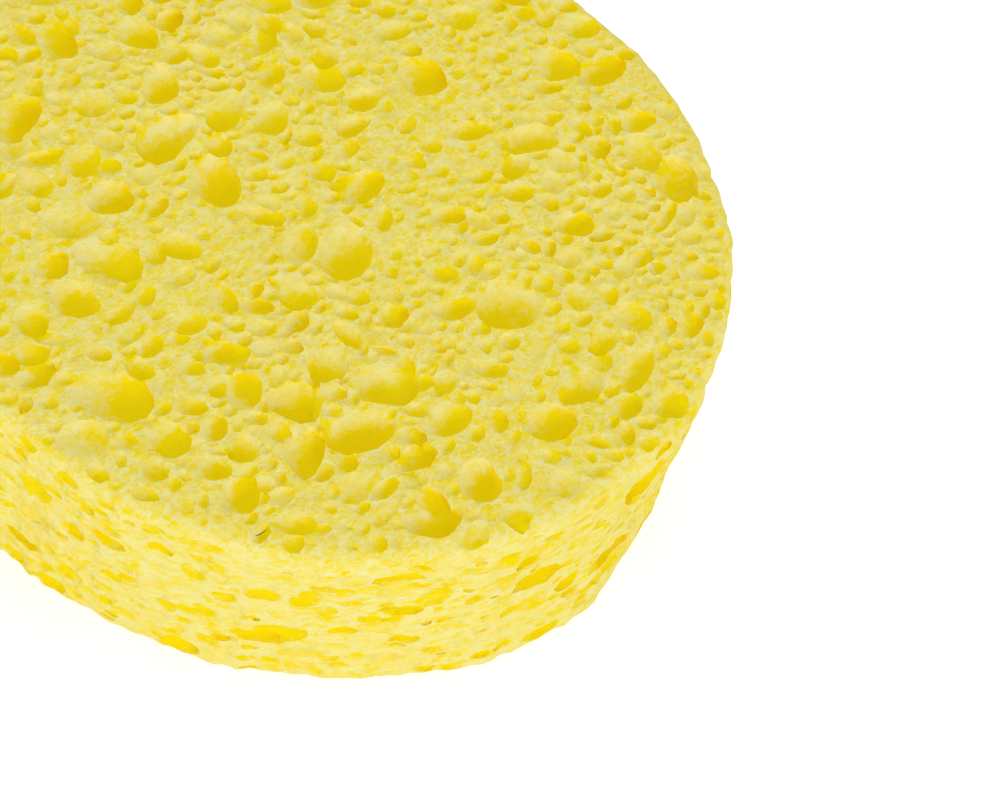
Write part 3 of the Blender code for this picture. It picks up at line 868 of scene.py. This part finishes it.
def foam_material(finish):
    """Cellulose foam. The cut skin is a pale web round small deep yellow cells, whose yellow is painted shade
    of their hollows, and the linings turn deep yellow towards their bottoms, unevenly, as painted shade of
    the hollows and painted shadow of the rims. All of it lies in flat layers, as the bubbles do."""
    material, tree, shader = new_material("Cellulose foam")
    given = node(tree, "TexCoord").outputs
    lining = math_node(tree, "GREATER_THAN", attribute(tree, "bubble"), 0.5)
    facing = node(tree, "SeparateXYZ", [(0, given["Normal"])]).outputs["Z"]
    upright = math_node(tree, "SUBTRACT", 1.0, math_node(tree, "ABSOLUTE", facing), clamp=True)

    turning = [("Vector", given["Object"]), ("Angle", -finish.grain_turn)]
    turned = node(tree, "VectorRotate", turning).outputs[0]
    flat = vector_math(tree, "MULTIPLY", turned, GRAIN_SQUEEZE)
    bend = noise(tree, flat, BEND_SCALE, 0.0).outputs["Color"]
    bent = vector_math(tree, "ADD", flat, vector_math(tree, "MULTIPLY", bend, (CELL_BEND,) * 3))
    mottle = noise(tree, flat, MOTTLE_SCALE, 3.0, 0.65).outputs["Fac"]

    # Painted shade of the pores: deep yellow from the stored painted shade and the linings' own share of it;
    # the cut skin keeps its own share of deep yellow.
    deep = math_node(tree, "MULTIPLY_ADD", attribute(tree, "painted_shade"), finish.painted_shade_strength, finish.lining_painted_shade)
    deep = mix_value(tree, lining, finish.skin_gold, deep)
    contrast = mix_value(tree, lining, finish.skin_cells, finish.lining_cells)
    fading = math_node(tree, "MULTIPLY_ADD", upright, -WALL_FADING, 1.0)
    contrast = math_node(tree, "MULTIPLY", contrast, fading)
    # The small cells are a pattern of the foam's own fine pores, and the deep yellow inside them is painted
    # shade of hollows that aren't modelled.
    cells = math_node(tree, "MULTIPLY", cell_web(tree, bent, finish), contrast)
    deep = math_node(tree, "ADD", deep, cells)
    uneven = math_node(tree, "MULTIPLY_ADD", mottle, finish.mottling, -0.5 * finish.mottling)
    deep = math_node(tree, "ADD", deep, uneven)
    strands = mix_value(tree, lining, finish.strand_strength, LINING_STRANDS)
    strands = math_node(tree, "MULTIPLY", use_group(tree, strands_group(), Vector=bent), strands)
    deep = math_node(tree, "SUBTRACT", deep, strands)
    deep = math_node(tree, "ADD", deep, wall_layers(tree, bent, upright, finish), clamp=True)
    colour = mix_colour(tree, deep, (*finish.skin_colour, 1.0), (*finish.deep_colour, 1.0))
    tree.links.new(colour, shader.inputs["Base Color"])

    relief = [("Height", mottle), ("Strength", finish.relief_strength), ("Distance", finish.relief_depth)]
    tree.links.new(node(tree, "Bump", relief).outputs["Normal"], shader.inputs["Normal"])
    shader.inputs["Roughness"].default_value = 0.85
    shader.inputs["Specular IOR Level"].default_value = 0.05
    return material


def hair_material():
    material, tree, shader = new_material("Dark hair")
    level = noise(tree, node(tree, "TexCoord").outputs["Object"], HAIR_SCALE).outputs["Fac"]
    tree.links.new(mix_colour(tree, level, *HAIR_COLOURS), shader.inputs["Base Color"])
    shader.inputs["Roughness"].default_value = 0.5
    return material


# Settings


def number_of(name, description, default, **more):
    return FloatProperty(name=name, description=description, default=default, **more)


def millimetres_of(name, description, default):
    return number_of(name, description, default * MM, subtype="DISTANCE", unit="LENGTH")


def degrees_of(name, description, default):
    return number_of(name, description, math.radians(default), subtype="ANGLE")


def factor_of(name, description, default):
    return number_of(name, description, default, subtype="FACTOR")


def steps_of(name, description, default):
    return IntProperty(name=name, description=description, default=default)


def size_range(name, description, low, high):
    limits = (low * MM, high * MM)
    return FloatVectorProperty(name=name, description=description, size=2, default=limits, unit="LENGTH")


def counts_of(name, description, *default):
    return IntVectorProperty(name=name, description=description, default=default)


def colour_of(name, description, *default):
    return FloatVectorProperty(name=name, description=description, default=default, subtype="COLOR")


class SpongeForm(bpy.types.PropertyGroup):
    waist_softness: factor_of("Waist softness", "How round the inner corner of the waist is", 0.035)
    outline_wave: millimetres_of("Outline wave", "Height of the waves along the outline", 0.35)
    face_wave: millimetres_of("Face wave", "Rise and fall of the upper face", 0.35)
    wall_wave: millimetres_of("Wall wave", "Rise and fall of the side wall", 0.25)
    rim_radius: millimetres_of("Rim radius", "Radius of the softened upper rim", 2.4)
    foot_wave: millimetres_of("Foot wave", "How far the foot of the wall bends out", 1.3)
    foot_bulge: millimetres_of("Foot bulge", "How much more it does so in one place", 1.6)
    bulge_place: degrees_of("Bulge place", "Where that is, from +X", -20)
    bulge_spread: degrees_of("Bulge spread", "How far it spreads", 11)
    foot_radius: millimetres_of("Foot radius", "Radius of the softened lower rim", 0.9)
    face_rows: steps_of("Face rows", "Steps of a face along the length", 42)
    face_columns: steps_of("Face columns", "Steps of a face across the width", 30)
    rim_steps: steps_of("Rim steps", "Points of the rim to each one of the face's edge", 3)
    rim_rows: steps_of("Rim rows", "Steps over each rim", 3)
    wall_rows: steps_of("Wall rows", "Steps down the wall", 8)


class SpongePores(bpy.types.PropertyGroup):
    large_range: size_range("Large pores", "Shortest and longest large pore of a face", 4.4, 8.6)
    medium_range: size_range("Medium pores", "Shortest and longest medium pore of a face", 2.2, 4.6)
    small_range: size_range("Small pores", "Shortest and longest small pore of a face", 1.2, 2.2)
    slit_large: size_range("Large slits", "Shortest and longest large slit of the wall", 4.5, 9.0)
    slit_medium: size_range("Medium slits", "Shortest and longest medium slit of the wall", 2.4, 4.4)
    slit_small: size_range("Small slits", "Shortest and longest small slit of the wall", 1.4, 2.3)
    upper_counts: counts_of("Upper pores", "Most large, medium and small pores above", 110, 1560, 560)
    under_counts: counts_of("Underside pores", "Most large, medium and small pores below", 110, 160, 0)
    slit_counts: counts_of("Wall slits", "Most large, medium and small slits", 150, 700, 300)
    closeness: factor_of("Closeness", "Distance of neighbours as a share of their radii", 0.74)
    flatness: factor_of("Flatness", "Height of a bubble as a share of its width", 0.62)
    sunk_range: FloatVectorProperty(
        name="Sinking",
        description="How far shallow and deep bubbles' middles lie under the cut, as a share of their height",
        size=2,
        default=(-0.62, 0.02),
    )
    slant: factor_of("Slant", "Sideways shift of a bubble's bottom for its depth", 0.8)
    slant_turn: number_of("Slant turn", "Direction of that shift from +X, in degrees", -15.0)
    slit_depth: factor_of("Slit depth", "Depth of a wall slit as a share of half its length", 0.5)
    edge_gap: millimetres_of("Edge gap", "Least distance from a pore's middle to the outline", 1.9)
    wall_gap: millimetres_of("Wall gap", "Least distance from a slit to a face", 0.5)
    lean: number_of("Lean", "Usual turn of the pores' length from +X, in degrees", 62.0)
    lean_spread: number_of("Lean spread", "Spread of that turn, in degrees", 34.0)
    roughness: factor_of("Unevenness", "How far a bubble departs from an ellipsoid", 0.32)


class SpongeFinish(bpy.types.PropertyGroup):
    skin_colour: colour_of("Skin", "Colour of the cut web", 0.95, 0.86, 0.33)
    # Deep yellow is the colour of the painted shade in the pores and small cells, and also of the mottling
    # and the wall's golden layers.
    deep_colour: colour_of("Deep yellow", "Colour deep in a pore", 0.97, 0.76, 0.002)
    # Painted shade: how much deeper the stored painted shade makes the yellow down a bubble, and the deep
    # yellow every lining gets as painted shade of the hollow.
    painted_shade_strength: factor_of("Gold strength", "How much deeper the yellow gets down a bubble", 1.36)
    lining_painted_shade: factor_of("Lining gold", "Share of deep yellow near a bubble's rim", 0.12)
    lining_cells: factor_of("Lining cells", "How far the small cells show in the linings", 0.30)
    skin_gold: factor_of("Skin gold", "Share of deep yellow on the cut walls", 0.25)
    skin_cells: factor_of("Skin cells", "How far the small cells show on the cut skin", 0.54)
    coarse_cells: number_of("Coarse cells", "Coarse small cells to a metre", 1150.0)
    fine_cells: number_of("Fine cells", "Fine small cells to a metre", 2600.0)
    mottling: factor_of("Mottling", "How far the yellow varies from place to place", 1.5)
    layering: factor_of("Layering", "How far the flat layers show on the wall", 0.5)
    strand_strength: factor_of("Strand strength", "How pale the strands are", 0.75)
    grain_turn: degrees_of("Grain turn", "Direction of the small cells' length from +X", 62)
    relief_strength: factor_of("Relief strength", "Strength of the fine relief", 0.6)
    relief_depth: millimetres_of("Relief depth", "Depth of the fine relief", 0.5)


class SpongeStage(bpy.types.PropertyGroup):
    room_light: factor_of("Room light", "Strength of the even light from all round", 0.75)
    key_light: factor_of("Key light", "Level of the soft light from the right", 0.22)
    fill_light: factor_of("Fill light", "Level of the soft light from the left", 0.10)
    floor_colour: colour_of("Floor", "Colour of the floor", 0.9, 0.9, 0.9)
    floor_lift: factor_of("Floor lift", "Light that the camera sees the floor give off", 0.45)


# Operators


class OBJECT_OT_sponge_body(bpy.types.Operator):
    """Build the foam slab with its open pores"""

    bl_idname = "object.sponge_body"
    bl_label = "Sponge Body"

    def execute(self, context):
        form, pores = context.scene.sponge_form, context.scene.sponge_pores
        points, quads, triangles = slab_surface(form)
        mesh = mesh_from("sponge_foam", points, quads, triangles)
        number_faces(mesh, np.zeros(len(quads) + len(triangles)))
        slab = add_object("sponge_foam", mesh)
        sets, shapes = all_bubbles(form, pores)
        done = cut_bubbles(slab, sets, shapes, pores.roughness)
        write_painted_shade(done, sets, form)
        bend_foot(done, form)
        done.shade_smooth()
        done.set_sharp_from_angle(angle=CREASE)
        done.materials.clear()
        done.materials.append(foam_material(context.scene.sponge_finish))
        slab.data = done
        if len(done.polygons) < 2 * len(quads):
            raise RuntimeError("the pores weren't cut")
        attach(slab, "root")
        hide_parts(NODE)
        return {"FINISHED"}


# The hair, in millimetres: where it starts from the right lobe's centre and above the face, how far it
# runs, how far it sags to the side and arches up, and its radius with the share left at its tips
HAIR_START = (5.9, -47.6, 0.02)
HAIR_RUN = (0.9, 1.15)
HAIR_SAG = 0.25
HAIR_ARCH = 0.12
HAIR_RADIUS = 0.075
HAIR_TIP = 0.35
HAIR_POINTS = 9
HAIR_SIDES = 6


def tube_surface(path, radii, sides):
    """A tube closed by a point at each end: a circle about each point of the path, square to it."""
    round_ = np.linspace(0, 2 * math.pi, sides, endpoint=False)
    step = np.gradient(path, axis=0)
    across = np.stack([-step[:, 1], step[:, 0], np.zeros(len(path))], axis=1)
    across /= np.linalg.norm(across, axis=1)[:, None]
    rise = np.cross(step / np.linalg.norm(step, axis=1)[:, None], across)
    ring = np.cos(round_)[None, :, None] * across[:, None, :]
    ring = ring + np.sin(round_)[None, :, None] * rise[:, None, :]
    points = path[:, None, :] + radii[:, None, None] * ring
    number = np.arange(len(path) * sides).reshape(len(path), sides)
    after = np.roll(number, -1, axis=1)
    quads = np.stack([number[:-1], after[:-1], after[1:], number[1:]], axis=-1).reshape(-1, 4)
    ends = len(path) * sides + np.array([0, 1])
    first = np.stack([after[0], number[0], np.full(sides, ends[0])], axis=1)
    last = np.stack([number[-1], after[-1], np.full(sides, ends[1])], axis=1)
    points = np.concatenate([points.reshape(-1, 3), path[:1], path[-1:]])
    return points, quads, np.concatenate([first, last])


class OBJECT_OT_sponge_hair(bpy.types.Operator):
    """Lay the one dark hair on the upper face"""

    bl_idname = "object.sponge_hair"
    bl_label = "Dark Hair"

    def execute(self, context):
        along = np.linspace(0, 1, HAIR_POINTS)
        bow = np.sin(math.pi * along)
        right, back, above = (length * MM for length in HAIR_START)
        start = np.array([lobe_half_spacing() + right, back, HIGH[2] + above])
        run = [HAIR_RUN[0] * along, HAIR_RUN[1] * along - HAIR_SAG * bow, HAIR_ARCH * bow]
        path = start + np.stack(run, axis=1) * MM
        thick = np.sin(math.pi * np.clip(along, 0.08, 0.92))
        radii = HAIR_RADIUS * MM * (HAIR_TIP + (1 - HAIR_TIP) * thick)
        hair = add_object("dark_hair", mesh_from("dark_hair", *tube_surface(path, radii, HAIR_SIDES)))
        hair.data.shade_smooth()
        hair.data.materials.append(hair_material())
        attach(hair, "root")
        return {"FINISHED"}


# The stage, in metres: half the floor's side and its gap under the sponge, and each lamp's place and size
FLOOR_REACH = 3.0
FLOOR_GAP = 0.05 * MM
KEY_LAMP = ((0.80, -0.95, 0.42), 0.6)
FILL_LAMP = ((-0.85, -1.00, 0.30), 0.5)
SENSOR_WIDTH_MM = 36.0
CLIP_RANGE = (0.005, 50.0)


def stage_material(stage):
    """Pale floor. The camera sees it lifted towards white, and it keeps the shadow."""
    material, tree, shader = new_material("Pale floor")
    shader.inputs["Base Color"].default_value = (*stage.floor_colour, 1.0)
    shader.inputs["Roughness"].default_value = 0.9
    shader.inputs["Specular IOR Level"].default_value = 0.0
    rays = node(tree, "LightPath").outputs
    seen = math_node(tree, "MAXIMUM", rays["Is Camera Ray"], rays["Is Glossy Ray"])
    seen = math_node(tree, "MAXIMUM", seen, rays["Is Transmission Ray"])
    lift = math_node(tree, "MULTIPLY", seen, stage.floor_lift)
    tree.links.new(lift, shader.inputs["Emission Strength"])
    shader.inputs["Emission Color"].default_value = (1.0, 1.0, 1.0, 1.0)
    return material


def add_floor(stage):
    reach = FLOOR_REACH
    corners = np.array([[-reach, -reach], [reach, -reach], [reach, reach], [-reach, reach]])
    points = np.concatenate([corners, np.full((4, 1), LOW[2] - FLOOR_GAP)], axis=1)
    floor = add_object("floor", mesh_from("floor", points, np.arange(4)[None]))
    floor.data.materials.append(stage_material(stage))


def add_room(strength):
    """The even light from all round."""
    world = bpy.data.worlds.new("room")
    world.use_nodes = True
    background = world.node_tree.nodes["Background"]
    background.inputs["Color"].default_value = (1.0, 1.0, 1.0, 1.0)
    background.inputs["Strength"].default_value = strength
    bpy.context.scene.world = world


def add_lamp(name, place, size, level):
    """A round soft light aimed at the middle. A level of 1 lights a surface that faces it as a room
    light of 1 does: a lamp does so with pi squared times its distance squared in watts."""
    light = bpy.data.lights.new(name, "AREA")
    light.shape = "DISK"
    light.size = size
    towards = Vector((0, 0, THICKNESS / 2)) - Vector(place)
    light.energy = level * (math.pi * towards.length) ** 2
    lamp = add_object(name, light)
    lamp.location = place
    lamp.rotation_euler = towards.to_track_quat("-Z", "Y").to_euler()


def add_camera():
    """The camera where the fit of the lobe's outline puts it, rolled as the photograph is."""
    lobe = WIDTH / 2
    across, down = (share * lobe for share in LOBE_IN_VIEW)
    aim = Vector((lobe_half_spacing() - across, -down, LOW[2] + THICKNESS / 2))
    ahead = Vector((0, math.cos(LOOK_DOWN), -math.sin(LOOK_DOWN)))
    level, rise = Vector((1, 0, 0)), Vector((0, math.sin(LOOK_DOWN), math.cos(LOOK_DOWN)))
    right = math.cos(ROLL) * level + math.sin(ROLL) * rise
    up = -math.sin(ROLL) * level + math.cos(ROLL) * rise
    data = bpy.data.cameras.new("camera")
    data.sensor_fit = "HORIZONTAL"
    data.sensor_width = SENSOR_WIDTH_MM
    data.lens = FOCAL_PIXELS / PHOTO_WIDTH * data.sensor_width
    data.clip_start, data.clip_end = CLIP_RANGE
    camera = add_object("camera", data)
    place = aim - ahead * (FOCAL_PIXELS / PIXELS_PER_LOBE * lobe)
    turned = Matrix((right, up, -ahead)).transposed().to_4x4()
    camera.matrix_world = Matrix.Translation(place) @ turned
    bpy.context.scene.camera = camera


class SCENE_OT_sponge_stage(bpy.types.Operator):
    """Set the pale floor, the soft lights and the camera"""

    bl_idname = "scene.sponge_stage"
    bl_label = "Stage"

    def execute(self, context):
        stage = context.scene.sponge_stage
        add_floor(stage)
        add_room(stage.room_light)
        add_lamp("key_light", *KEY_LAMP, stage.key_light)
        add_lamp("fill_light", *FILL_LAMP, stage.fill_light)
        add_camera()
        context.scene.view_settings.view_transform = "Standard"
        return {"FINISHED"}


class VIEW3D_PT_sponge(bpy.types.Panel):
    """Lists the sponge's operators and settings"""

    bl_idname = "VIEW3D_PT_sponge"
    bl_label = "Bath Sponge"
    bl_space_type = "VIEW_3D"
    bl_region_type = "UI"
    bl_category = "Sponge"

    def draw(self, context):
        for operator in OPERATORS:
            self.layout.operator(operator.bl_idname)
        for name in SETTINGS:
            group = getattr(context.scene, name)
            for key in group.__annotations__:
                self.layout.prop(group, key)


SETTINGS = {
    "sponge_form": SpongeForm,
    "sponge_pores": SpongePores,
    "sponge_finish": SpongeFinish,
    "sponge_stage": SpongeStage,
}
OPERATORS = (OBJECT_OT_sponge_body, OBJECT_OT_sponge_hair, SCENE_OT_sponge_stage)


def register():
    for item in (*SETTINGS.values(), *OPERATORS, VIEW3D_PT_sponge):
        bpy.utils.register_class(item)
    for name, group in SETTINGS.items():
        setattr(bpy.types.Scene, name, PointerProperty(type=group))


def unregister():
    for name in SETTINGS:
        delattr(bpy.types.Scene, name)
    for item in reversed((*SETTINGS.values(), *OPERATORS, VIEW3D_PT_sponge)):
        bpy.utils.unregister_class(item)


def main():
    register()
    bpy.ops.object.sponge_body()
    bpy.ops.object.sponge_hair()
    bpy.ops.scene.sponge_stage()


if __name__ == "__main__":
    main()
